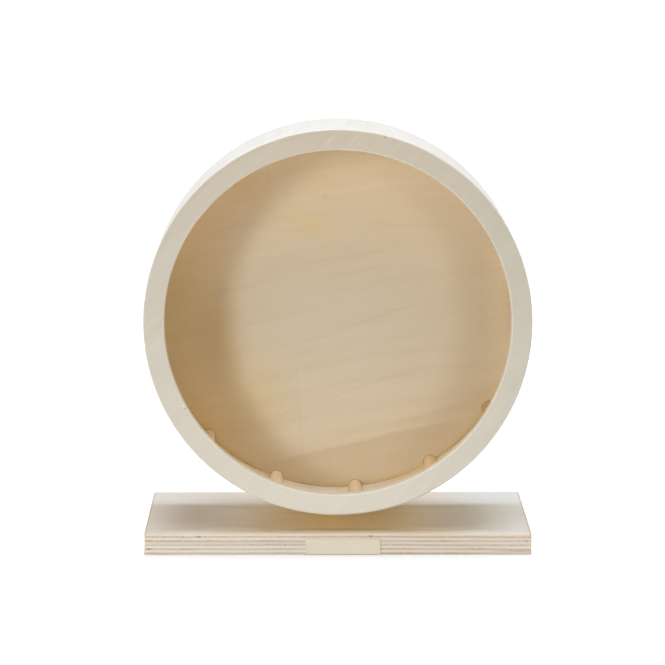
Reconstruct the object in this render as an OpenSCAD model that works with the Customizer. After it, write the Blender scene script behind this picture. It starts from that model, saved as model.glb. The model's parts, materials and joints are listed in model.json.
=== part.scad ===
// Wooden running wheel for hamsters and other small pets, on a plywood stand.
// Millimetres. +Z is up, the open side of the drum faces -Y and +X is to the right.
// The origin lies under the middle of the whole part, on the surface that it stands on.

/* [Stand] */
// Width of the base board, left to right
base_wide = 280; // [240:5:340]
// Thickness of the plywood that the base board and the upright are cut from
board_thick = 15; // [15:0.5:20]
// Radius of the base board's four upright corners
base_corner = 2.5; // [1:0.5:8]
// How far the base board runs on behind the upright
foot_back = 22; // [18:1:60]
// Width of the upright where it stands on the base board
foot_wide = 100; // [80:1:110]
// Height of the upright's straight foot, below the taper
foot_tall = 14; // [6:1:30]
// Width of the upright's rounded head, around the bearings
head_across = 60; // [50:1:76]

/* [Blank plate] */
// Width of the small bare plate that is glued to the base board's front edge
plate_wide = 54; // [30:1:80]
// Height of the plate
plate_tall = 10.2; // [6:0.2:12]
// Thickness of the plate
plate_thick = 1.5; // [0.8:0.1:3]
// Height of the plate's lower edge above the floor
plate_low = 0.8; // [0.4:0.2:2]
// How far the plate's middle stands to the right of the board's middle
plate_right = 3.5; // [-40:0.5:40]
// Radius of the plate's corners
plate_corner = 0.6; // [0.2:0.1:2]

/* [Drum] */
// Outer diameter of the drum
drum_across = 280; // [240:5:330]
// Depth of the whole drum, from the front ring to the back panel
drum_deep = 98; // [80:1:130]
// Gap between the drum and the base board
drum_gap = 12; // [6:0.5:25]
// How far the drum's front stands behind the base board's front edge
drum_setback = 10; // [0:1:20]

/* [Front ring] */
// Width of the front ring's face, from its rim to its opening
ring_wide = 15; // [12:0.5:25]
// Thickness of the front ring
ring_thick = 10; // [8:0.5:15]
// Radius of the rounded edges on the front ring's face
ring_round = 1.2; // [0.5:0.1:2]

/* [Running sheet] */
// Thickness of the bent sheet that the animal runs on
sheet_thick = 3; // [2:0.1:4]
// Depth of the rebates in the front ring and the back panel that hold the sheet
rebate_deep = 2; // [1:0.1:3]
// Place of the sheet's seam, turned from straight down toward the right, in degrees
seam_angle = 72.8; // [0:0.1:360]
// Width of the butt seam where the two ends of the bent sheet meet
seam_open = 0.3; // [0.2:0.1:0.8]

/* [Rungs] */
// Width of the half-round rungs
rung_across = 10; // [6:0.5:14]
// Distance along the running sheet between the two rungs beside the seam
seam_clear = 81; // [66:1:110]

/* [Back panel and hub] */
// Thickness of the back panel
panel_thick = 6; // [5:0.5:9]
// Radius of the rounded edge on the back of the panel
panel_round = 0.8; // [0.3:0.1:1.5]
// Diameter of the hub block glued to the back of the panel
hub_across = 80; // [50:1:110]
// Thickness of the hub block
hub_thick = 12; // [9:0.5:20]
// Radius of the rounded edge on the hub block
hub_round = 2; // [0.5:0.5:4]

/* [Axle] */
// Length of the spacer between the hub block and the front bearing
spacer_long = 3; // [2:0.5:8]
// Thickness of the small washer under the cap nut
washer_thick = 1.2; // [1:0.1:2]
// How far the bolt's thread runs into the cap nut
nut_grip = 9.2; // [7:0.1:10]

/* [Foot screws] */
// Diameter of the countersunk screws that come up through the base board
screw_across = 4.5; // [3.5:0.5:5]
// Length of each screw
screw_long = 40; // [30:1:60]
// Distance between neighbouring screws
screw_apart = 35; // [20:1:36]

/* [Hidden] */
$fn = 96;
drum_fn = 720;
// How far a cutting shape runs past a face that it opens
eps = 0.01;
cut = 1;

// Countersunk screws, with a cross slot in the head, hold the upright
screw_count = 3;
screw_sink = 0.6;
screw_head = screw_across * 1.9;
screw_head_tall = screw_across * 0.85;
screw_tip = screw_across * 0.9;
screw_slack = 0.2;
screw_point_r = 0.4;
slot_wide = screw_across * 0.2;
slot_long = screw_across * 1.05;
slot_deep = screw_across * 0.45;

// Standard ball bearing, 8 x 22 x 7
axle_r = 4;
bearing_r = 11;
bearing_thick = 7;
inner_land_r = 6;
outer_land_r = 9;
ledge_r = 9.5;
ball_count = 7;
ball_r = 1.9845;
ball_track_r = 7.5;
track_slack = 0.03;
pocket_slack = 0.06;
cage_wide = 1.2;
cage_low = 1;
cage_tall = 2.9;
shield_thick = 0.3;
shield_sink = 0.3;
shield_seat_r = 9.3;
shield_slack = 0.3;

// Standard M8 hexagon head and domed cap nut, 13 across the flats
hex_flats = 13;
bolt_head_tall = 5.3;
nut_hex_tall = 6.5;
nut_dome_r = 6.25;
nut_tall = 15;
nut_bore_deep = 11;
hex_pocket_slack = 0.1;
hex_bevel = 0.9;

// Radii of the drum
drum_r = drum_across / 2;
run_r = drum_r - sheet_thick;
mouth_r = drum_r - ring_wide;
hub_r = hub_across / 2;

// Rungs stand evenly along the running sheet, away from its seam
rung_count = 14;
run_round = 2 * PI * run_r;
rung_pitch = (run_round - seam_clear) / (rung_count - 1);
rung_long = drum_deep - ring_thick - panel_thick;

// The stack along the axle, front to back. The plate stands proud of the board, so the
// board's front lies half the plate's thickness behind the front of the whole part.
base_deep = drum_setback + drum_deep + hub_thick + spacer_long + board_thick + foot_back;
base_front = (plate_thick - base_deep) / 2;
drum_front = base_front + drum_setback;
sheet_front = drum_front + ring_thick - rebate_deep;
sheet_long = drum_deep - ring_thick - panel_thick + 2 * rebate_deep;
panel_back = drum_front + drum_deep;
hub_back = panel_back + hub_thick;
upright_front = hub_back + spacer_long;
upright_back = upright_front + board_thick;
upright_mid = upright_front + board_thick / 2;
nut_front = upright_back + washer_thick;
axle_high = board_thick + drum_gap + drum_r;
head_pocket = bolt_head_tall + hex_pocket_slack;
bolt_long = nut_front - panel_back - head_pocket + nut_grip;
seat_shoulder = board_thick - 2 * bearing_thick;

// Colours
poplar = [0.83, 0.79, 0.72];
veneer = [0.80, 0.72, 0.60];
birch = [0.87, 0.82, 0.74];
beech = [0.82, 0.68, 0.52];
cream = [0.86, 0.81, 0.71];
steel = [0.62, 0.62, 0.63];
polished = [0.78, 0.78, 0.79];

bearing_sides = ["front", "rear"];

function rung_name(i) = str("rung_", i < 10 ? "0" : "", i);

// Angle of rung i, turned from straight down toward the right
function rung_angle(i) = seam_angle + (seam_clear / 2 + (i - 1) * rung_pitch) * 360 / run_round;

// Front face of the bearing on one side of the upright
function bearing_front(side) = side == "front" ? upright_front : upright_back - bearing_thick;

// Stands a shape on the axle's line: its own Z then runs to the back, and its Y down
module on_axle(back) {
    translate([0, back, axle_high]) rotate([-90, 0, 0]) children();
}

// Turns a shape drawn straight below the axle to its place round the drum
module round_drum(angle) {
    rotate([0, 0, -angle]) children();
}

// Puts a copy at each foot screw's place, in a row under the upright
module at_screws(high) {
    for (i = [0:screw_count - 1])
        translate([(i - (screw_count - 1) / 2) * screw_apart, upright_mid, high]) children();
}

// A flat slab with round corners, its middle on the origin and its underside at Z 0
module slab(wide, deep, thick, corner) {
    translate([-wide / 2 + corner, -deep / 2, 0]) cube([wide - 2 * corner, deep, thick]);
    translate([-wide / 2, -deep / 2 + corner, 0]) cube([wide, deep - 2 * corner, thick]);
    for (x = [-1, 1], y = [-1, 1])
        translate([x * (wide / 2 - corner), y * (deep / 2 - corner), 0]) cylinder(r = corner, h = thick);
}

// Half section of a disc or ring between two radii, with its low outer edge rounded,
// and its low inner edge too where it is a ring
module eased_section(inner, outer, thick, ease) {
    inner_ease = inner > 0 ? ease : 0;
    translate([inner, ease]) square([outer - inner, thick - ease]);
    translate([inner + inner_ease, 0]) square([outer - inner - ease - inner_ease, ease + eps]);
    translate([outer - ease, ease]) circle(r = ease, $fn = 32);
    if (inner_ease > 0) translate([inner + ease, ease]) circle(r = ease, $fn = 32);
}

// A hexagon prism whose corners are taken off at one or both ends
module hexagon(tall, bevel_low, bevel_high) {
    corner_r = hex_flats / sqrt(3);
    low = bevel_low ? hex_bevel : 0;
    high = bevel_high ? hex_bevel : 0;
    intersection() {
        cylinder(r = corner_r, h = tall, $fn = 6);
        union() {
            cylinder(r1 = corner_r - low, r2 = corner_r, h = tall / 4);
            translate([0, 0, tall / 4]) cylinder(r = corner_r, h = tall / 2);
            translate([0, 0, tall * 3 / 4]) cylinder(r1 = corner_r, r2 = corner_r - high, h = tall / 4);
        }
    }
}

// One countersunk screw, point up, with the face of its head at Z 0
module screw_body(slack) {
    shank_r = screw_across / 2 + slack;
    cylinder(r1 = screw_head / 2 + slack, r2 = shank_r, h = screw_head_tall);
    cylinder(r = shank_r, h = screw_long - screw_tip);
}

module base_board() {
    color(birch) difference() {
        translate([0, base_front + base_deep / 2, 0]) slab(base_wide, base_deep, board_thick, base_corner);
        at_screws(screw_sink) screw_body(screw_slack);
        at_screws(-eps) cylinder(r = screw_head / 2 + screw_slack, h = screw_sink + 2 * eps);
    }
}

module blank_plate() {
    color(cream) translate([plate_right, base_front, plate_low + plate_tall / 2])
        rotate([90, 0, 0]) slab(plate_wide, plate_tall, plate_thick, plate_corner);
}

// The taper runs straight from the foot's corners and meets the round head as a tangent
module upright() {
    head_r = head_across / 2;
    rise = axle_high - board_thick - foot_tall;
    reach = norm([foot_wide / 2, rise]);
    meet = atan2(-rise, foot_wide / 2) + acos(head_r / reach);
    side = [[foot_wide / 2, 0], [foot_wide / 2, foot_tall],
            [head_r * cos(meet), foot_tall + rise + head_r * sin(meet)]];
    color(birch) difference() {
        union() {
            translate([0, upright_back, board_thick]) rotate([90, 0, 0]) linear_extrude(board_thick)
                polygon(concat(side, [for (i = [2:-1:0]) [-side[i].x, side[i].y]]));
            on_axle(upright_front) cylinder(r = head_r, h = board_thick);
        }
        for (place = bearing_sides) on_axle(bearing_front(place))
            translate([0, 0, place == "front" ? -eps : 0]) cylinder(r = bearing_r, h = bearing_thick + eps);
        on_axle(upright_front) cylinder(r = ledge_r, h = board_thick);
        at_screws(screw_sink) cylinder(d = screw_across, h = screw_long);
    }
}

module foot_screws() {
    color(steel) at_screws(screw_sink) difference() {
        union() {
            screw_body(0);
            translate([0, 0, screw_long - screw_tip])
                cylinder(r1 = screw_across / 2, r2 = screw_point_r, h = screw_tip);
        }
        for (turn = [0, 90]) rotate(turn)
            translate([-slot_long / 2, -slot_wide / 2, -eps]) cube([slot_long, slot_wide, slot_deep]);
    }
}

// The back of the ring has a rebate round its rim for the edge of the running sheet
module front_ring() {
    color(poplar) on_axle(drum_front) rotate_extrude() difference() {
        eased_section(mouth_r, drum_r, ring_thick, ring_round);
        translate([run_r, ring_thick - rebate_deep]) square([sheet_thick + eps, rebate_deep + eps]);
    }
}

module running_sheet() {
    color(veneer) on_axle(sheet_front) difference() {
        cylinder(r = drum_r, h = sheet_long);
        translate([0, 0, -eps]) cylinder(r = run_r, h = sheet_long + 2 * eps);
        round_drum(seam_angle) translate([-seam_open / 2, run_r - cut, -cut])
            cube([seam_open, sheet_thick + 2 * cut, sheet_long + 2 * cut]);
    }
}

// Drawn from the back, so that its rounded rim is the low edge of the section
module back_panel() {
    color(veneer) translate([0, panel_back, axle_high]) rotate([90, 0, 0]) rotate_extrude() difference() {
        eased_section(0, drum_r, panel_thick, panel_round);
        translate([run_r, panel_thick - rebate_deep]) square([sheet_thick + eps, rebate_deep + eps]);
    }
}

// A half-round bar, its underside hollowed to lie on the running sheet
module rung(i) {
    color(beech) on_axle(drum_front + ring_thick) round_drum(rung_angle(i)) intersection() {
        translate([0, run_r, 0]) cylinder(d = rung_across, h = rung_long);
        cylinder(r = run_r, h = rung_long, $fn = drum_fn);
    }
}

// The bolt's head lies in a pocket on the hidden side, between the block and the panel
module hub_block() {
    color(birch) difference() {
        translate([0, hub_back, axle_high]) rotate([90, 0, 0])
            rotate_extrude() eased_section(0, hub_r, hub_thick, hub_round);
        on_axle(panel_back) {
            translate([0, 0, -eps])
                cylinder(r = (hex_flats / 2 + hex_pocket_slack) / cos(30), h = head_pocket + eps, $fn = 6);
            cylinder(r = axle_r, h = hub_thick + eps);
        }
    }
}

module axle_bolt() {
    color(steel) on_axle(panel_back + hex_pocket_slack) {
        hexagon(bolt_head_tall, true, false);
        cylinder(r = axle_r, h = bolt_head_tall + bolt_long);
    }
}

// A plain round tube or washer on the axle
module axle_tube(back, long) {
    on_axle(back) difference() {
        cylinder(r = inner_land_r, h = long);
        translate([0, 0, -eps]) cylinder(r = axle_r, h = long + 2 * eps);
    }
}

module hub_spacer() {
    color(steel) axle_tube(hub_back, spacer_long);
}

module race_spacer() {
    color(steel) axle_tube(upright_front + bearing_thick, seat_shoulder);
}

module rear_washer() {
    color(steel) axle_tube(upright_back, washer_thick);
}

module cap_nut() {
    color(polished) on_axle(nut_front) difference() {
        union() {
            hexagon(nut_hex_tall, true, true);
            cylinder(r = nut_dome_r, h = nut_tall - nut_dome_r);
            translate([0, 0, nut_tall - nut_dome_r]) sphere(r = nut_dome_r);
        }
        translate([0, 0, -eps]) cylinder(r = axle_r, h = nut_bore_deep + eps);
    }
}

// The groove that the balls roll in, as a half section
module track_section() {
    translate([ball_track_r, bearing_thick / 2]) circle(r = ball_r + track_slack, $fn = 64);
}

module outer_race(side) {
    seat = shield_thick + shield_sink;
    color(polished) on_axle(bearing_front(side)) rotate_extrude() difference() {
        translate([outer_land_r, 0]) square([bearing_r - outer_land_r, bearing_thick]);
        track_section();
        for (low = [-eps, bearing_thick - seat]) translate([outer_land_r - eps, low])
            square([shield_seat_r - outer_land_r + eps, seat + eps]);
    }
}

module inner_race(side) {
    color(polished) on_axle(bearing_front(side)) rotate_extrude() difference() {
        translate([axle_r, 0]) square([inner_land_r - axle_r, bearing_thick]);
        track_section();
    }
}

// Puts a copy at each ball's place in one bearing
module at_balls() {
    for (k = [0:ball_count - 1]) rotate(k * 360 / ball_count)
        translate([ball_track_r, 0, bearing_thick / 2]) children();
}

module balls(side) {
    color(polished) on_axle(bearing_front(side)) at_balls() sphere(r = ball_r);
}

// A crown-shaped ring with a round pocket for each ball
module cage(side) {
    color(steel) on_axle(bearing_front(side)) difference() {
        rotate_extrude() translate([ball_track_r - cage_wide / 2, cage_low]) square([cage_wide, cage_tall]);
        at_balls() sphere(r = ball_r + pocket_slack);
    }
}

module shields(side) {
    color(steel) on_axle(bearing_front(side))
        for (low = [shield_sink, bearing_thick - shield_sink - shield_thick]) translate([0, 0, low])
            difference() {
                cylinder(r = shield_seat_r, h = shield_thick);
                translate([0, 0, -eps])
                    cylinder(r = inner_land_r + shield_slack, h = shield_thick + 2 * eps);
            }
}

base_board();
blank_plate();
upright();
foot_screws();
front_ring();
running_sheet();
back_panel();
for (i = [1:rung_count]) rung(i);
hub_block();
axle_bolt();
hub_spacer();
race_spacer();
rear_washer();
cap_nut();
for (side = bearing_sides) outer_race(side);
for (side = bearing_sides) inner_race(side);
for (side = bearing_sides) balls(side);
for (side = bearing_sides) cage(side);
for (side = bearing_sides) shields(side);
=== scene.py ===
import json
import math

import bmesh
import bpy
from mathutils import Matrix, Vector, noise


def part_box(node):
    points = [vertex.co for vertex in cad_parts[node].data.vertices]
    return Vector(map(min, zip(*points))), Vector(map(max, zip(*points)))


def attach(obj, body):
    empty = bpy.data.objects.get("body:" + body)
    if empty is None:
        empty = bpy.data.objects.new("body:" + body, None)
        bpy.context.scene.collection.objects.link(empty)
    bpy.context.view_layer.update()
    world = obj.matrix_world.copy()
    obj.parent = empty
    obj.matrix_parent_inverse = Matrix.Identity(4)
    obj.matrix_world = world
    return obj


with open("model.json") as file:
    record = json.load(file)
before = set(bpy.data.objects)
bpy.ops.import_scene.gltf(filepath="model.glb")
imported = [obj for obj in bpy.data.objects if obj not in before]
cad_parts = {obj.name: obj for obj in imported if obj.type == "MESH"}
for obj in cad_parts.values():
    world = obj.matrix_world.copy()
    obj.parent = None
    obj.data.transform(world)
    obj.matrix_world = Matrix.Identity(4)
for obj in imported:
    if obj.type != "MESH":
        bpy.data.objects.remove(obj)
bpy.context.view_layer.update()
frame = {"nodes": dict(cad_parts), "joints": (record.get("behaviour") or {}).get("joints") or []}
nodes = frame["nodes"]

MM = 0.001
TO_MM = 1000

# The object's main measures in metres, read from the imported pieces
axle = Vector(frame["joints"][0]["pos_m"])
ring_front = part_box("front_ring")[0].y
panel_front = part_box("rung_01")[1].y
panel_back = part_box("back_panel")[1].y
drum_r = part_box("running_sheet")[1].z - axle.z
board_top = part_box("base_board")[1].z
upright_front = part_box("upright")[0].y

SHEET_THICK = 3 * MM
RUNG_R = 5 * MM
run_r = drum_r - SHEET_THICK


# Node trees

class Tree:
    """A material's node tree, with short calls that add nodes and join them."""

    def __init__(self, name):
        self.material = bpy.data.materials.new(name)
        self.material.use_nodes = True
        self.nodes = self.material.node_tree.nodes
        self.links = self.material.node_tree.links
        self.nodes.clear()
        self.place = self.add("TexCoord")

    def put(self, socket, value):
        if isinstance(value, bpy.types.NodeSocket):
            self.links.new(value, socket)
        else:
            socket.default_value = value

    def add(self, kind, inputs=(), **settings):
        node = self.nodes.new("ShaderNode" + kind)
        for key, value in settings.items():
            setattr(node, key, value)
        pairs = inputs.items() if isinstance(inputs, dict) else enumerate(inputs)
        for key, value in pairs:
            self.put(node.inputs[key], value)
        return node

    # Numbers

    def math(self, operation, *values):
        return self.add("Math", values, operation=operation).outputs[0]

    def times(self, *values):
        result = values[0]
        for value in values[1:]:
            result = self.math("MULTIPLY", result, value)
        return result

    def plus(self, *values):
        result = values[0]
        for value in values[1:]:
            result = self.math("ADD", result, value)
        return result

    def minus(self, a, b):
        return self.math("SUBTRACT", a, b)

    def size(self, value):
        """A number without its sign."""
        return self.math("ABSOLUTE", value)

    def step(self, value, low, high, to_low=0.0, to_high=1.0):
        return self.add("MapRange", [value, low, high, to_low, to_high], clamp=True).outputs[0]

    def blend(self, amount, a, b):
        """A number between a and b."""
        return self.add("Mix", {0: amount, 2: a, 3: b}, data_type="FLOAT").outputs[0]

    # Points and directions

    def vector(self, operation, *values):
        return self.add("VectorMath", values, operation=operation).outputs[0]

    def dot(self, a, b):
        return self.add("VectorMath", [a, b], operation="DOT_PRODUCT").outputs[1]

    def parts(self, vector):
        return self.add("SeparateXYZ", [vector]).outputs

    def join(self, x, y, z=0.0):
        return self.add("CombineXYZ", [x, y, z]).outputs[0]

    def point(self):
        """The object's own coordinates, in millimetres."""
        return self.vector("MULTIPLY", self.place.outputs["Object"], (TO_MM, TO_MM, TO_MM))

    def from_axle(self):
        """The same coordinates one by one, measured from the axle."""
        return self.parts(self.vector("SUBTRACT", self.point(), tuple(axle * TO_MM)))

    def facing(self):
        """The way the surface faces, one coordinate at a time."""
        return self.parts(self.place.outputs["Normal"])

    def turned(self, vector, degrees):
        """A flat point turned about its third axis."""
        return self.add("VectorRotate", {"Vector": vector, "Angle": math.radians(degrees)},
                        rotation_type="Z_AXIS").outputs[0]

    def radius(self, x, z):
        """How far a place is from the axle."""
        return self.math("SQRT", self.plus(self.times(x, x), self.times(z, z)))

    def outward(self, x, z):
        """The same, but less where the surface faces sideways, and below zero where it faces in."""
        facing = self.facing()
        return self.plus(self.times(x, facing[0]), self.times(z, facing[2]))

    def clock(self, x, z):
        """A place's angle round the axle, in degrees from straight down."""
        return self.math("DEGREES", self.math("ARCTAN2", x, self.times(z, -1.0)))

    # Patterns

    def noise(self, vector, size, detail=2.0, rough=0.5):
        """Noise whose features are about as long as size, in millimetres, each way."""
        squeezed = self.vector("DIVIDE", vector, size)
        return self.add("TexNoise", {"Vector": squeezed, "Scale": 1.0, "Detail": detail,
                                     "Roughness": rough}).outputs[0]

    def ripple(self, vector, size, **options):
        """The same noise, swinging about zero."""
        return self.minus(self.noise(vector, size, **options), 0.5)

    def spot(self, point, at, size):
        """One in the middle of a soft oval and nothing outside it."""
        away = self.vector("DIVIDE", self.vector("SUBTRACT", point, (*at, 0)), (*size, 1))
        distance = self.add("VectorMath", [away], operation="LENGTH").outputs[1]
        return self.step(distance, 1.0, 0.15)

    # Colours

    def mix(self, amount, a, b, how="MIX"):
        """A colour between a and b."""
        node = self.add("Mix", data_type="RGBA", blend_type=how)
        self.put(node.inputs[0], amount)
        for socket, tone in ((node.inputs[6], a), (node.inputs[7], b)):
            self.put(socket, tone if isinstance(tone, bpy.types.NodeSocket) else (*tone, 1))
        return node.outputs[2]

    def stain(self, where, colour, tone):
        """Multiplies a colour by a tone, as far as where says."""
        return self.mix(where, colour, self.mix(1.0, colour, tone, "MULTIPLY"))

    def tint(self, colour, value, low, high, at_low, at_high):
        """Multiplies a colour by a tone that turns from at_low to at_high between two values."""
        tone = self.mix(self.step(value, low, high), at_low, at_high)
        return self.mix(1.0, colour, tone, "MULTIPLY")

    def finish(self, colour, rough, height=None, bump=0.0, **shader):
        """Ends the tree in one shader, and returns the material."""
        skin = self.add("BsdfPrincipled", {"Base Color": colour, "Roughness": rough})
        for key, value in shader.items():
            skin.inputs[key.replace("_", " ")].default_value = value
        if height is not None:
            bumped = self.add("Bump", {"Height": height, "Distance": bump})
            self.put(skin.inputs["Normal"], bumped.outputs[0])
        self.add("OutputMaterial", [skin.outputs[0]])
        return self.material


def shade(tone, amount):
    return tuple(c * amount for c in tone)


def pale(tone, amount):
    """A tone brought closer to white: amount is the share of its darkness that stays."""
    return tuple(1 - (1 - c) * amount for c in tone)


def product(tone, other):
    return tuple(a * b for a, b in zip(tone, other))


# The woods' average tones

BOARD = (0.80, 0.70, 0.555)
PANEL = (0.71, 0.59, 0.405)
RING = (0.64, 0.58, 0.48)
SHEET = (0.87, 0.785, 0.65)
RUNG = (0.86, 0.69, 0.46)
PLATE = (0.76, 0.67, 0.51)
PLAIN = (1, 1, 1)

# The plies' edges
EDGE_ROUGH = 0.6
TORN = (0.40, 0.26, 0.15)
THIN_GLUE = (0.68, 0.43, 0.15)
THICK_GLUE = (0.42, 0.20, 0.06)


# Woods

def timber(t, grain, tone, contrast=1.0, pores=0.3):
    """Colour and height of bare wood. The fibres run along the first axis of grain, in millimetres.
    The tone is the wood's average, and contrast sets how far its bands, streaks and fibres leave it."""
    bend = t.times(t.ripple(grain, (170, 70, 70), detail=1.0), 26.0)
    bent = t.vector("ADD", grain, t.join(0.0, bend))
    bands = t.ripple(bent, (210, 9, 12), detail=3.0, rough=0.55)
    streaks = t.ripple(bent, (60, 1.5, 2.5), detail=3.0, rough=0.6)
    cloud = t.ripple(grain, (36, 20, 20), detail=3.0, rough=0.6)
    fibres = t.noise(grain, (5, 0.3, 0.5), rough=0.7)
    dark = t.plus(t.times(bands, 0.55), t.times(streaks, 0.40), t.times(t.minus(fibres, 0.5), 0.35),
                  t.times(cloud, 0.25))
    dark = t.times(dark, contrast)

    deep = product(shade(tone, 0.55), (1.22, 1, 0.72))
    colour = t.mix(t.step(dark, 0.0, 0.5), tone, deep)
    colour = t.mix(t.step(dark, 0.0, -0.5), colour, pale(tone, 0.55))
    dots = t.times(t.step(t.noise(grain, (2.4, 0.4, 0.6), detail=0.0), 0.66, 0.8), pores)
    return t.mix(dots, colour, deep), t.minus(t.times(fibres, 0.6), dots)


def plywood(name, tone, fibres, inward, first, layer, contrast=1.0, edge=1.0, rough=0.5, ends=1.0,
            pores=0.3, sink=0.0):
    """A plywood board's material. Its face fibres and its inward direction are axes of the object,
    and first and layer, in millimetres along inward, are where its face is and how thick its plies are.
    An edge shows the plies: those whose fibres run out of it are darker and open, as far as ends says.
    The line of glue under the first ply shows there as far as edge says. With sink, in plies, the
    plies lie deeper toward the far end of the face fibres."""
    t = Tree(name)
    fibres, inward = Vector(fibres).normalized(), Vector(inward)
    across = inward.cross(fibres)
    point, normal = t.point(), t.place.outputs["Normal"]
    along, sideways, deep = (t.dot(point, tuple(axis)) for axis in (fibres, across, inward))
    face, face_height = timber(t, t.join(along, sideways, deep), tone, contrast, pores)

    # How many plies deep a place is
    wave = t.times(t.ripple(point, (40, 40, 40)), 0.3)
    count = t.plus(t.math("DIVIDE", t.minus(deep, first), layer), wave)
    if sink:
        count = t.minus(count, t.step(along, 20, 130, 0.0, sink))
    odd = t.math("PINGPONG", t.math("FLOOR", count), 1.0)
    first_plies = t.step(count, 2.2, 1.8)

    # Long grain and end grain, ply by ply
    lies_along, lies_across = (t.size(t.dot(normal, tuple(axis))) for axis in (fibres, across))
    end_grain = t.step(t.blend(odd, lies_along, lies_across), 0.35, 0.8)
    long_grain = t.noise(t.join(t.plus(along, sideways), sideways, deep), (40, 40, 0.5),
                         detail=3.0, rough=0.6)
    long_grain = t.mix(t.step(long_grain, 0.3, 0.75), pale(tone, 0.8), shade(tone, 0.9))
    crumbs = t.noise(point, (0.8, 0.8, 0.8), detail=3.0, rough=0.75)
    cut = product(tone, tuple(1 - ends * loss for loss in (0.09, 0.12, 0.15)))
    open_end = t.mix(t.step(crumbs, 0.3, 0.75), cut, shade(cut, 1 - 0.19 * ends))
    open_end = t.mix(t.times(first_plies, 0.75), open_end, tone)
    side = t.mix(end_grain, long_grain, open_end)

    # Fibres torn out by the saw
    torn = t.times(t.step(t.noise(point, (1.6, 1.6, 0.6), rough=0.6), 0.45, 0.62),
                   t.step(t.noise(point, (34, 34, 2.0), detail=1.0), 0.42, 0.62), ends)
    side = t.mix(t.times(torn, odd, t.minus(1.0, first_plies), 0.62), side, TORN)

    # The line of glue under the first ply
    middle = t.size(t.minus(count, 1.45))
    crumbled = t.noise(point, (1.8, 1.8, 0.6), detail=3.0, rough=0.65)
    line = t.times(t.step(middle, 0.62, 0.22), t.step(crumbled, 0.36, 0.56, 0.15, 1.0))
    glue = t.mix(t.step(crumbled, 0.46, 0.6), THIN_GLUE, THICK_GLUE)
    side = t.mix(t.times(line, edge), side, glue)
    side = t.mix(1.0, side, (1.04, 1.06, 1.11), "MULTIPLY")

    on_edge = t.step(t.size(t.dot(normal, tuple(inward))), 0.8, 0.6)
    edge_height = t.minus(t.times(crumbs, end_grain), t.plus(line, t.times(torn, odd)))
    face_rough = t.step(crumbs, 0.3, 0.8, rough, rough + 0.08)
    return (t, t.mix(on_edge, face, side), t.blend(on_edge, face_height, edge_height),
            t.blend(on_edge, face_rough, EDGE_ROUGH))


def streak(t, colour, flat, start, end, wide, tone, strength, wave=0.0, below=0.0):
    """Draws a long soft streak between two places of a flat face, in millimetres.
    With below, it is the sharp upper side of a broad band that fades away downwards."""
    start, end = Vector(start), Vector(end)
    along = end - start
    centred = t.vector("SUBTRACT", flat, (*((start + end) / 2), 0))
    centred = t.turned(centred, -math.degrees(math.atan2(along.y, along.x)))
    far, off, _ = t.parts(centred)
    if wave:
        off = t.plus(off, t.times(t.ripple(centred, (60, 900, 1), detail=1.0), wave))
    near = t.step(t.size(off), wide, wide * 0.1)
    if below:
        near = t.times(t.step(off, wide, -wide), t.step(off, -below, -wide))
    length = t.step(t.size(far), along.length / 2, along.length * 0.3)
    return t.mix(t.times(near, length, strength), colour, tone)


# The panel's marks and its painted light and shade, with their places in millimetres from the axle

PANEL_ORANGE = product(shade(PANEL, 0.8), (1, 0.86, 0.62))
PANEL_GREY = (0.40, 0.34, 0.27)
PANEL_RESIN = (0.74, 0.55, 0.22)

# Painted shadows: middle, half-size and tone
PANEL_PAINTED_SHADOWS = (
    ((-118, -8), (46, 78), (0.95, 0.92, 0.80)),
    ((-86, -25), (24, 44), (0.90, 0.86, 0.76)),
    ((-68, -78), (42, 52), (1.0, 0.95, 0.78)),
    ((-67, 88), (22, 24), (0.97, 0.93, 0.83)),
)

# Streaks: start, end, half-width, tone, strength, how far they wave, and a band below
PANEL_STREAKS = (
    ((-64, -121), (108, -81), 1.2, PANEL_ORANGE, 0.38, 9.0, 34),
    ((32, -90), (112, -68), 1.2, PANEL_ORANGE, 0.2, 6.0, 11),
    ((-92, 66), (-4, 50), 2.6, PANEL_ORANGE, 0.1, 18.0),
    ((-32, 31), (44, 42), 2.2, PANEL_ORANGE, 0.14, 12.0),
    ((-12, 22), (40, 30), 2.6, PANEL_ORANGE, 0.14, 8.0),
    ((-40, -32), (80, 8), 2.0, PANEL_ORANGE, 0.14, 16.0),
    ((-66, -90), (76, -42), 2.0, PANEL_ORANGE, 0.12, 16.0),
    ((-100, 8), (-36, 22), 2.2, PANEL_ORANGE, 0.14, 9.0),
    ((20, 62), (96, 58), 2.4, PANEL_ORANGE, 0.14, 14.0),
    ((-70, -60), (10, -36), 1.8, PANEL_ORANGE, 0.12, 12.0),
    ((-34.5, 14), (-24.6, -130), 0.5, PANEL_GREY, 0.13),
    ((-51.3, 108), (-50.2, 84), 0.5, PANEL_GREY, 0.22),
)

# Resin: middle, half-size and strength
PANEL_RESIN_SPOTS = (
    ((-20, 61), (19, 12), 0.5),
    ((-18.5, 61), (6, 6), 0.4),
    ((-34, 64), (13, 5), 0.25),
)


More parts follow.
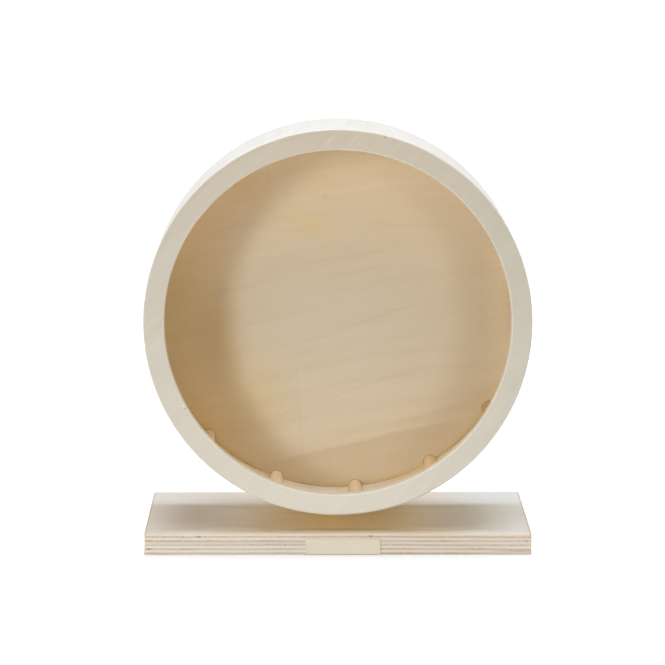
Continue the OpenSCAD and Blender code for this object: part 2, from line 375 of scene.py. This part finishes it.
def panel_look():
    """The drum's back panel: calm, slightly sloping veneer, with its own few marks in their places, and
    painted light and shade.
    """
    t, colour, height, rough = plywood("panel_plywood", PANEL, (1, 0, 0.14), (0, 1, 0),
                                       panel_front * TO_MM, 1.2, contrast=0.30, edge=0.4, ends=0.3,
                                       pores=0.18)
    rear = colour
    x, _, z = t.from_axle()
    flat = t.join(x, z)

    # Painted light and shade in broad changes of tone: top, bottom, left, the painted shadows, right,
    # and the cooler middle
    colour = t.tint(colour, z, 15, 100, (0.98, 0.99, 1.0), (1.04, 0.99, 0.92))
    colour = t.tint(colour, z, -5, -90, PLAIN, (1.09, 1.11, 1.15))
    colour = t.tint(colour, x, -66, -96, PLAIN, (1.06, 0.98, 0.84))
    for at, size, tone in PANEL_PAINTED_SHADOWS:
        colour = t.stain(t.spot(flat, at, size), colour, tone)
    colour = t.tint(colour, x, 70, 106, PLAIN, (0.99, 0.96, 0.90))
    colour = t.tint(colour, x, 108, 122, PLAIN, (1.12, 1.10, 1.07))
    colour = t.stain(t.spot(flat, (5, -18), (92, 74)), colour, (1.0, 1.01, 1.055))

    # Painted shade toward the lower rim, warmer and then darker near the corner with the running sheet
    out, low = t.radius(x, z), t.step(z, -40, -80)
    colour = t.stain(t.times(t.step(out, 112, 132), low), colour, (1.0, 0.965, 0.89))
    colour = t.stain(t.times(t.step(out, 132.5, 136), low), colour, (0.96, 0.89, 0.72))

    for marks in PANEL_STREAKS:
        colour = streak(t, colour, flat, *marks)
    ragged = t.step(t.noise(flat, (9, 5, 5), detail=4.0, rough=0.65), 0.34, 0.62)
    for at, size, strength in PANEL_RESIN_SPOTS:
        colour = t.mix(t.times(t.spot(flat, at, size), ragged, strength), colour, PANEL_RESIN)
    colour = t.mix(t.times(t.spot(flat, (-8.9, 81.8), (4.2, 2.6)), 0.26), colour, PANEL_GREY)

    # The painted light and shade and the marks are on the inner face only, and the panel's own edge is
    # paler
    faces_back = t.facing()[1]
    colour = t.mix(t.step(faces_back, -0.3, -0.7), rear, colour)
    colour = t.mix(t.step(t.size(faces_back), 0.6, 0.3, 0.0, 0.85), colour, (0.80, 0.74, 0.63))
    return t.finish(colour, rough, height, 0.08 * MM)


# The ring's marks, with their places in millimetres from the axle

RING_INNER_R = 125.0
RING_LEAN = -47
TAN, WARM_TAN = (0.60, 0.45, 0.29), (0.80, 0.66, 0.42)

# Strokes that lean as the grain does: middle, half-size along and across the grain, tone and strength
RING_STROKES = (
    ((-12, 131), (13, 1.6), TAN, 0.35),
    ((-20, 129), (13, 1.2), TAN, 0.3),
    ((-6, 132), (12, 2.4), WARM_TAN, 0.25),
    ((12, 133), (12, 1.6), WARM_TAN, 0.2),
    ((44, 127), (13, 0.9), TAN, 0.3),
    ((60, 120), (13, 0.8), TAN, 0.3),
    ((85, 101), (12, 0.8), TAN, 0.25),
    ((103, 86), (12, 1.4), TAN, 0.35),
    ((-134, 0), (12, 4.0), WARM_TAN, 0.2),
    ((-131, -16), (11, 3.0), WARM_TAN, 0.15),
    ((-128, -38), (11, 3.0), WARM_TAN, 0.15),
    ((-34, -129), (10, 0.8), TAN, 0.2),
    ((128, -44), (12, 5.0), shade(RING, 0.9), 0.6),
)

# Specks, and one small chip with its pale core and its painted shade beside it: middle, half-size, tone
# and strength
RING_SPECKS_AND_CHIP_SHADE = (
    ((33.5, 134.4), (1.4, 0.9), (0.30, 0.17, 0.09), 0.7),
    ((-110.3, -61.6), (1.5, 1.0), (0.36, 0.24, 0.14), 0.6),
    ((-110.9, -60.0), (1.8, 1.0), (0.94, 0.86, 0.72), 0.8),
)


def ring_look():
    """The front ring: pale sanded plywood, its face fibres running up to the right, with painted light
    and shade.
    """
    t, colour, height, rough = plywood("ring_plywood", RING, (1, 0, 0.96), (0, 1, 0),
                                       ring_front * TO_MM, 10 / 7, contrast=0.30, edge=0.5, ends=0.2,
                                       pores=0.08)
    x, _, z = t.from_axle()
    flat = t.join(x, z)
    # Painted light and shade: darker toward the top, brighter toward the bottom where the floor's light
    # falls, and darker at both sides
    colour = t.tint(colour, z, 135, 20, (0.91, 0.87, 0.81), PLAIN)
    colour = t.tint(colour, z, 20, -135, PLAIN, (1.14, 1.155, 1.17))
    colour = t.tint(colour, x, 40, 120, PLAIN, (0.92, 0.93, 0.91))
    colour = t.tint(colour, x, -60, -125, PLAIN, (0.96, 0.95, 0.94))
    leaning, lean = t.turned(flat, RING_LEAN), Matrix.Rotation(math.radians(RING_LEAN), 2)
    for at, size, tone, strength in RING_STROKES:
        colour = t.mix(t.times(t.spot(leaning, lean @ Vector(at), size), strength), colour, tone)

    # The inner edge with a painted highlight, the darker outer corner at the upper left, and the outer
    # edge, paler plies with a painted highlight
    outward = t.math("DIVIDE", t.outward(x, z), RING_INNER_R)
    colour = t.mix(t.step(outward, -0.2, -0.7, 0.0, 0.55), colour, (0.93, 0.85, 0.70))
    upper_left = t.times(t.step(x, 30, -60), t.step(z, 20, 90))
    corner = t.times(t.step(t.radius(x, z), 134.5, 139.0), t.noise(flat, (9, 9, 9)), upper_left, 0.5)
    colour = t.mix(corner, colour, (0.50, 0.36, 0.26))
    colour = t.mix(t.step(outward, 0.45, 0.85, 0.0, 0.85), colour, (0.73, 0.715, 0.68))
    for at, size, tone, strength in RING_SPECKS_AND_CHIP_SHADE:
        colour = t.mix(t.times(t.spot(flat, at, size), strength), colour, tone)
    return t.finish(colour, rough, height, 0.04 * MM)


def sheet_look():
    """The bent running sheet: pale veneer with its fibres along the axle, so that it bends. Its colour
    carries painted light and shade.
    """
    t = Tree("sheet_veneer")
    x, y, z = t.from_axle()
    around = t.times(t.math("ARCTAN2", x, t.size(z)), run_r * TO_MM)
    colour, height = timber(t, t.join(y, around, z), SHEET, contrast=0.75)
    outward = t.outward(x, z)
    inside = t.step(outward, -60, -100)

    # Painted light and shade: the inside at the bottom brighter on the left and darker on the right,
    # its two rising sides in golden painted shade, and the outside more neutral, cooler at the top as a
    # painted reflection of the light above
    track_light_and_shade = t.mix(t.step(x, 8, 42), (1.09, 1.12, 1.20), (0.97, 0.92, 0.88))
    colour = t.stain(t.times(t.step(z, -112, -128), inside), colour, track_light_and_shade)
    rising = t.times(t.step(t.size(x), 32, 72), t.step(z, -50, -80), inside)
    colour = t.stain(rising, colour, (0.95, 0.87, 0.68))
    outer = t.mix(t.step(z, 25, 80), (0.90, 0.885, 0.865), (0.90, 0.97, 1.09))
    colour = t.stain(t.step(outward, 20, 60), colour, outer)
    return t.finish(colour, 0.3, height, 0.05 * MM)


def rung_look():
    """Beech with open pores. The rungs are paler low on the left, and the rung high on the right is
    painted darker, as painted shade.
    """
    t = Tree("rung_beech")
    x, y, z = t.from_axle()
    colour, height = timber(t, t.join(y, x, z), RUNG, contrast=0.9, pores=0.7)
    angle = t.clock(x, z)
    colour = t.tint(colour, t.size(t.plus(angle, 15)), 5, 45, (1.12, 1.17, 1.27), (1.02, 0.96, 0.82))
    # Painted shade on the rung high on the right
    colour = t.tint(colour, angle, 48, 54, PLAIN, (0.80, 0.70, 0.57))
    return t.finish(colour, 0.5, height, 0.08 * MM)


def plate_look():
    """The small bare plate: calm veneer with its fibres along it."""
    t = Tree("plate_veneer")
    x, y, z = t.parts(t.point())
    colour, height = timber(t, t.join(x, z, y), PLATE, contrast=0.35, pores=0.1)
    return t.finish(colour, 0.42, height, 0.03 * MM)


# Where the panel's joint has opened: the middle and half-length of each stretch, in degrees from
# straight down, and how wide it is open
GAPS = ((-27.8, 4.0, 1.0), (-9.5, 4.2, 1.0), (10.5, 3.5, 0.6), (17.5, 3.0, 0.4), (43, 6, 0.8))

DRIED_GLUE = product(shade(SHEET, 0.72), (0.98, 0.82, 0.57))
DARK_GLUE_AND_GAP_SHADE = (0.13, 0.052, 0.01)


def joint_look():
    """Dried glue, dark in patches, with the painted shade of the gaps where the panel's joint has
    opened, at their real places, and painted shade in patches round the rungs' ends.
    """
    t = Tree("joint_glue")
    x, _, z = t.from_axle()
    angle, point = t.clock(x, z), t.point()
    dark = t.step(t.noise(point, (9, 9, 9)), 0.56, 0.66, 0.0, 0.5)
    # Painted shade in the opened gaps
    for middle, reach, depth in GAPS:
        away = t.size(t.minus(angle, middle))
        dark = t.math("MAXIMUM", dark, t.step(away, reach, reach * 0.5, 0.0, depth))
    # Painted shade in patches round the rungs' ends
    patches = t.step(t.noise(point, (3.5, 3.5, 3.5), detail=1.0), 0.42, 0.58, 0.0, 0.45)
    on_rungs = t.step(t.radius(x, z), 136.3, 135.3)
    dark = t.math("MAXIMUM", dark, t.times(on_rungs, patches))
    flecks = t.noise(point, (1.5, 1.5, 1.5))
    dark = t.times(dark, t.step(flecks, 0.25, 0.45, 0.6, 1.0))
    colour = t.mix(dark, DRIED_GLUE, DARK_GLUE_AND_GAP_SHADE)
    return t.finish(colour, 0.8, flecks, 0.05 * MM, Specular_IOR_Level=0.05)


# The base board's marks and its painted light and shade, with their places in millimetres from the
# board's middle

BASE_FLECK = (0.33, 0.17, 0.09)

# Painted shadow of the drum and the warm light that reaches under it, in bands from front to back:
# where along the board, half-width and tone
BASE_UNDER_DRUM_LIGHT_AND_SHADE = (
    (-108, 31, (0.75, 0.67, 0.55)),
    (-20, 60, (1.16, 1.13, 0.96)),
    (12, 50, (1.07, 1.05, 0.87)),
    (48, 34, (1.11, 1.09, 0.97)),
    (100, 32, (0.78, 0.75, 0.65)),
)

# Spots of painted shade in the drum's shadow on the top, all of one size
BASE_SHADE_SPOTS = ((-78, -54), (80, -54), (-70, 22), (64, 22))

# Flecks, streaks and dull plies of the front edge: middle, half-size and strength
BASE_FLECKS = (
    ((-136.4, 4.3), (3.4, 0.8), 0.9),
    ((-100.6, 13.3), (2.6, 0.9), 0.9),
    ((-112, 13.2), (1.6, 0.7), 0.6),
    ((23.2, 13.7), (2.6, 0.8), 0.8),
    ((136.2, 9.8), (1.2, 0.9), 0.8),
    ((133, 2.6), (29, 1.4), 0.5),
    ((-70, 8.9), (150, 1.5), 0.22),
    ((-80, 3.6), (110, 1.2), 0.14),
)


def base_look():
    """The base board: pale sealed veneer, with the flecks and dull plies of its own front edge, the
    drum's painted shadow on its top, and painted light and shade.
    """
    t, colour, height, rough = plywood("base_plywood", BOARD, (1, 0, 0), (0, 0, -1),
                                       -board_top * TO_MM - 0.37, 1.48, contrast=0.4, edge=0.7,
                                       rough=0.27, sink=0.38)
    x, y, z = t.parts(t.point())
    _, faces_back, faces_up = t.facing()
    off_middle = t.size(x)

    # The top: worn dull under the drum, with the drum's painted shadow, and painted light at its far
    # edge and at its two ends
    on_top = t.step(faces_up, 0.3, 0.7)
    worn = t.times(t.step(off_middle, 112, 62), on_top)
    rough = t.blend(worn, rough, 0.62)
    under_drum_shade = t.times(t.step(y, 38, 27), t.step(y, -72, -58), on_top)
    for at, reach, tone in BASE_UNDER_DRUM_LIGHT_AND_SHADE:
        near = t.step(t.size(t.minus(x, at)), reach, reach * 0.15)
        colour = t.stain(t.times(near, under_drum_shade), colour, tone)
    # Painted shadow reaching toward the board's front edge
    front_shadow = t.times(t.step(y, -57, -62), t.step(y, -78, -68), t.step(off_middle, 105, 50), on_top)
    colour = t.stain(front_shadow, colour, (0.76, 0.69, 0.58))
    for at in BASE_SHADE_SPOTS:
        near = t.times(t.spot(t.join(x, y), at, (32, 14)), on_top)
        colour = t.stain(near, colour, (0.88, 0.86, 0.82))
    # Painted light, cooler and brighter, at the far edge and at the two ends of the top
    colour = t.stain(t.times(t.step(y, 34, 42), on_top), colour, (1.0, 1.04, 1.13))
    ends = t.mix(t.step(x, -60, -112), PLAIN, (0.97, 1.0, 1.06))
    ends = t.mix(t.step(x, 70, 112), ends, (1.0, 1.09, 1.22))
    colour = t.stain(on_top, colour, ends)

    # The front edge, darker to the right of the middle and brighter low down, its two upper corners,
    # its flecks, and the painted contact shade along the line that it stands on
    front = t.step(faces_back, -0.3, -0.7)
    ends = t.mix(t.step(x, -80, 60), (0.99, 0.98, 0.97), (0.91, 0.87, 0.83))
    ends = t.mix(t.step(x, 98, 128), ends, (0.965, 0.945, 0.92))
    ends = t.tint(ends, z, 7, 1, PLAIN, (1.05, 1.06, 1.08))
    colour = t.stain(front, colour, ends)
    corners = t.times(t.step(off_middle, 138.4, 139.3), t.step(z, 13.8, 14.3))
    colour = t.stain(corners, colour, (0.76, 0.68, 0.60))
    for at, size, strength in BASE_FLECKS:
        fleck = t.times(t.spot(t.join(x, z), at, size), front, strength)
        colour = t.mix(fleck, colour, BASE_FLECK)
    # Painted contact shade along the bottom, where the board stands on the floor
    contact_shade = t.step(t.plus(z, t.step(x, 40, 110, 0.0, 0.5)), 1.4, 0.5)
    colour = t.stain(contact_shade, colour, (0.80, 0.78, 0.75))
    return t.finish(colour, rough, height, 0.1 * MM)


def board_look(name, fibres, front, layer):
    """A plain plywood board that stands upright, its face toward the drum."""
    t, colour, height, rough = plywood(name, BOARD, fibres, (0, 1, 0), front * TO_MM, layer)
    return t.finish(colour, rough, height, 0.1 * MM)


# Metals

def metal(name, tone, rough, bump):
    """Plated or ground steel, with fine turning marks round the axle."""
    t = Tree(name)
    x, y, z = t.from_axle()
    turning = t.noise(t.join(t.radius(x, z), y), (0.09, 0.2, 1))
    cloud = t.noise(t.point(), (2.2, 2.2, 2.2), detail=3.0)
    colour = t.mix(t.step(cloud, 0.3, 0.75), tone, shade(tone, 0.84))
    return t.finish(colour, t.step(turning, 0.3, 0.7, rough, rough + 0.12), turning, bump, Metallic=1.0)


BOARD_PLIES = 11
HUB_THICK, HUB_PLIES = 12, 9

looks = {
    "base": base_look(),
    "upright": board_look("upright_plywood", (0, 0, 1), upright_front, board_top * TO_MM / BOARD_PLIES),
    "hub": board_look("hub_plywood", (0.4, 0, 1), panel_back, HUB_THICK / HUB_PLIES),
    "panel": panel_look(),
    "sheet": sheet_look(),
    "ring": ring_look(),
    "rung": rung_look(),
    "plate": plate_look(),
    "joint": joint_look(),
    "zinc": metal("zinc_steel", (0.60, 0.60, 0.61), 0.34, 0.01 * MM),
    "bright": metal("bright_steel", (0.76, 0.76, 0.77), 0.16, 0.006 * MM),
}


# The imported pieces

SHARP_EDGE = math.radians(30)
EASED_EDGE = math.radians(40)


def dress(node, look, ease=0.0):
    """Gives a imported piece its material, smooth shading between its sharp edges, and eased edges."""
    packed = nodes[node]
    packed.data.materials.clear()
    packed.data.materials.append(looks[look])
    for face in packed.data.polygons:
        face.use_smooth = True
    packed.data.set_sharp_from_angle(angle=SHARP_EDGE)
    if ease:
        bevel = packed.modifiers.new("eased_edges", "BEVEL")
        bevel.width = ease
        bevel.segments = 3
        bevel.limit_method = "ANGLE"
        bevel.angle_limit = EASED_EDGE
        bevel.harden_normals = True
        bevel.use_clamp_overlap = False


dress("base_board", "base", 1.0 * MM)
dress("blank_plate", "plate", 0.25 * MM)
dress("upright", "upright", 0.5 * MM)
dress("hub_block", "hub")
dress("front_ring", "ring")
dress("running_sheet", "sheet")
dress("back_panel", "panel")
rungs = [name for name in nodes if name.startswith("rung_")]
for name in rungs:
    dress(name, "rung")
for name in ("foot_screws", "axle_bolt", "hub_spacer", "race_spacer", "rear_washer"):
    dress(name, "zinc")
dress("cap_nut", "bright")
for bearing in ("front_", "rear_"):
    for part in ("outer_race", "inner_race", "balls"):
        dress(bearing + part, "bright")
    for part in ("cage", "shields"):
        dress(bearing + part, "zinc")


# New pieces

BEAD_R = 0.4 * MM
END_BEAD_R = 0.3 * MM
BEAD_SIDES = 6
ROUND_STEPS = 720
SIDE_CUTS = 28
END_STEPS = 24


def piece(name, shape, look, body):
    """Makes a finished shape into a piece that rides on a body and has one of the looks."""
    bmesh.ops.recalc_face_normals(shape, faces=shape.faces)
    mesh = bpy.data.meshes.new(name)
    shape.to_mesh(mesh)
    shape.free()
    mesh.materials.append(looks[look])
    for face in mesh.polygons:
        face.use_smooth = True
    made = bpy.data.objects.new(name, mesh)
    bpy.context.scene.collection.objects.link(made)
    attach(made, body)


def swelling(place, length):
    """How thick a bead of glue is, as a share of BEAD_R: it swells and thins about once in a length."""
    return 0.35 + 0.9 * (0.5 + 0.5 * noise.noise(place / length))


def panel_joint():
    """The uneven line of glue in the corner where the running sheet meets the back panel. It swells
    where the joint has opened, to carry the painted shade of the gap.
    """
    shape = bmesh.new()
    corner = Vector((run_r, 0, 0)) + Vector((axle.x, panel_front, axle.z))
    turn = Matrix.Rotation(math.pi / 2, 4, "X")
    bmesh.ops.create_circle(shape, segments=BEAD_SIDES, radius=BEAD_R,
                            matrix=Matrix.Translation(corner) @ turn)
    bmesh.ops.spin(shape, geom=shape.verts[:] + shape.edges[:], cent=axle, axis=(0, 1, 0),
                   dvec=(0, 0, 0), angle=math.tau, steps=ROUND_STEPS, use_merge=True)
    for place in shape.verts:
        out = Vector((place.co.x - axle.x, 0, place.co.z - axle.z)).normalized() * run_r
        centre = Vector((axle.x + out.x, panel_front, axle.z + out.z))
        thick = swelling(centre, 7 * MM)
        angle = math.degrees(math.atan2(out.x, -out.z))
        for middle, reach, depth in GAPS:
            inside = min(1.0, max(0.0, 2 - 2 * abs(angle - middle) / reach))
            thick += depth * inside * (1.3 + 0.8 * noise.noise(centre / (2.5 * MM)))
        place.co = centre + (place.co - centre) * thick
    piece("panel_joint", shape, "joint", "wheel")


def side_bead(shape, place, length):
    """A thin uneven line of glue, straight from front to back through a place."""
    turn = Matrix.Rotation(math.pi / 2, 4, "X")
    bead = bmesh.ops.create_cone(shape, cap_ends=True, segments=BEAD_SIDES, radius1=BEAD_R,
                                 radius2=BEAD_R, depth=length,
                                 matrix=Matrix.Translation(place) @ turn)["verts"]
    sides = {e for v in bead for e in v.link_edges
             if abs(e.verts[0].co.y - e.verts[1].co.y) > length / 2}
    bmesh.ops.subdivide_edges(shape, edges=list(sides), cuts=SIDE_CUTS, use_grid_fill=True)
    for corner in shape.verts:
        if (corner.co - place).xz.length < 1.5 * BEAD_R:
            centre = Vector((place.x, corner.co.y, place.z))
            corner.co = centre + (corner.co - centre) * swelling(centre, 6 * MM)


def end_bead(shape, centre, beside):
    """A half turn of glue round a rung's end, where it meets the panel."""
    start = centre + beside * (RUNG_R + 0.1 * MM)
    across = beside.to_track_quat("X", "Z").to_matrix().to_4x4()
    ring = bmesh.ops.create_circle(shape, cap_ends=True, segments=BEAD_SIDES, radius=END_BEAD_R,
                                   matrix=Matrix.Translation(start) @ across)["verts"]
    faces = {f for v in ring for f in v.link_faces}
    edges = {e for v in ring for e in v.link_edges}
    bmesh.ops.spin(shape, geom=list(faces) + list(edges) + ring, cent=centre, axis=(0, 1, 0),
                   dvec=(0, 0, 0), angle=math.pi, steps=END_STEPS)


def rung_joints():
    """Thin lines of glue down both sides of each rung, and round the end of it that meets the panel."""
    shape = bmesh.new()
    for name in rungs:
        low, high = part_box(name)
        corners = nodes[name].data.vertices
        foot = sum((v.co for v in corners), Vector()) / len(corners) - axle
        spoke = Vector((foot.x, 0, foot.z)).normalized()
        beside = Vector((spoke.z, 0, -spoke.x))
        root = axle + spoke * run_r
        for side in (-1, 1):
            place = root + beside * side * RUNG_R
            place.y = (low.y + high.y) / 2
            side_bead(shape, place, high.y - low.y)
        end_bead(shape, Vector((root.x, panel_front, root.z)), beside)
    piece("rung_joints", shape, "joint", "wheel")


panel_joint()
rung_joints()


# Studio

FLOOR_HALF = 14.0
FLOOR_GLOW = 0.78
FRONT_GLOW = 0.23
FLOOR_DROP = 0.2 * MM


def studio_floor(room_light):
    """A plain white floor. It glows white to the camera and in reflections, less so before the object,
    and it lights the object only a little."""
    shape = bmesh.new()
    bmesh.ops.create_grid(shape, x_segments=1, y_segments=1, size=FLOOR_HALF)
    mesh = bpy.data.meshes.new("floor")
    shape.to_mesh(mesh)
    shape.free()
    floor = bpy.data.objects.new("floor", mesh)
    floor.location.z = -FLOOR_DROP
    bpy.context.scene.collection.objects.link(floor)
    t = Tree("white_floor")
    ray = t.add("LightPath").outputs
    before = t.step(t.parts(t.point())[1], -60, -82)
    unseen = t.blend(ray["Is Glossy Ray"], room_light, FLOOR_GLOW)
    glow = t.blend(ray["Is Camera Ray"], unseen, t.blend(before, FLOOR_GLOW, FRONT_GLOW))
    skin = t.add("BsdfPrincipled", {"Base Color": (0.7, 0.7, 0.7, 1), "Roughness": 0.9,
                                    "Emission Color": (1, 1, 1, 1), "Emission Strength": glow})
    t.add("OutputMaterial", [skin.outputs[0]])
    mesh.materials.append(t.material)


def studio_room(front, back):
    """The room: dim before the object, and a pale backdrop behind it. The camera sees it white."""
    world = bpy.data.worlds.new("studio")
    world.use_nodes = True
    room, links = world.node_tree.nodes, world.node_tree.links
    parts = room.new("ShaderNodeSeparateXYZ")
    links.new(room.new("ShaderNodeTexCoord").outputs["Generated"], parts.inputs[0])
    turn = room.new("ShaderNodeMapRange")
    links.new(parts.outputs["Y"], turn.inputs["Value"])
    turn.inputs["From Max"].default_value = 0.3
    turn.inputs["To Min"].default_value = front
    turn.inputs["To Max"].default_value = back
    seen = room.new("ShaderNodeMath")
    seen.operation = "MAXIMUM"
    links.new(turn.outputs[0], seen.inputs[0])
    links.new(room.new("ShaderNodeLightPath").outputs["Is Camera Ray"], seen.inputs[1])
    links.new(seen.outputs[0], room["Background"].inputs["Strength"])
    room["Background"].inputs["Color"].default_value = (1, 1, 1, 1)
    bpy.context.scene.world = world


def softbox(name, place, aim, wide, tall, watts, colour):
    lamp = bpy.data.lights.new(name, "AREA")
    lamp.shape = "RECTANGLE"
    lamp.size, lamp.size_y = wide, tall
    lamp.energy = watts
    lamp.color = colour
    holder = bpy.data.objects.new(name, lamp)
    holder.location = place
    holder.rotation_euler = (Vector(aim) - Vector(place)).to_track_quat("-Z", "Y").to_euler()
    holder.visible_camera = False
    bpy.context.scene.collection.objects.link(holder)


COOL, WHITE, WARM = (0.88, 0.93, 1.0), (1, 1, 1), (1.0, 0.93, 0.82)
drum_front = axle + Vector((0, -0.05, 0))
drum_middle = (0.0, -0.1, 0.167)

# Each light's name, place, aim, width and height in metres, watts and colour
SOFTBOXES = (
    ("left_box", (-1.555, -2.977, 0.54), drum_front, 0.50, 0.75, 31, COOL),
    ("right_box", (1.20, -2.977, 0.457), drum_front, 0.50, 0.75, 8.0, WARM),
    ("top_box", (0.0, -0.02, 1.65), (0.0, -0.02, 0.0), 0.28, 0.28, 4.5, COOL),
    ("top_strip", (0.2, -0.02, 1.65), (0.2, -0.02, 0.0), 1.3, 0.2, 9.0, COOL),
    ("high_box", (0.0, -0.90, 1.35), drum_middle, 1.4, 0.3, 2.4, WHITE),
    ("near_box", (0.0, -0.60, 1.45), drum_middle, 1.4, 0.3, 6.6, WHITE),
    ("left_side_box", (-1.5, 0.15, 0.35), (-0.1, 0.0, 0.015), 0.7, 0.6, 4.6, WARM),
    ("right_side_box", (1.5, 0.15, 0.35), (0.1, 0.0, 0.015), 0.7, 0.6, 3.6, WARM),
)

studio_floor(room_light=0.095)
studio_room(front=0.15, back=0.64)
for light in SOFTBOXES:
    softbox(*light)
bpy.context.scene.cycles.max_bounces = 16
bpy.context.scene.cycles.diffuse_bounces = 14

# Camera: a long lens, a little above the drum, almost square on to it
LOOKS_DOWN = 8.301
LOOKS_RIGHT = 0.348
camera = bpy.data.cameras.new("camera")
camera.sensor_width = 36
camera.lens = 181.72
camera.clip_end = 50
viewer = bpy.data.objects.new("camera", camera)
viewer.location = (-0.0184, -2.4555, 0.5089)
viewer.rotation_euler = (math.radians(90 - LOOKS_DOWN), 0, math.radians(-LOOKS_RIGHT))
bpy.context.scene.collection.objects.link(viewer)
bpy.context.scene.camera = viewer
bpy.context.scene.view_settings.view_transform = "Standard"
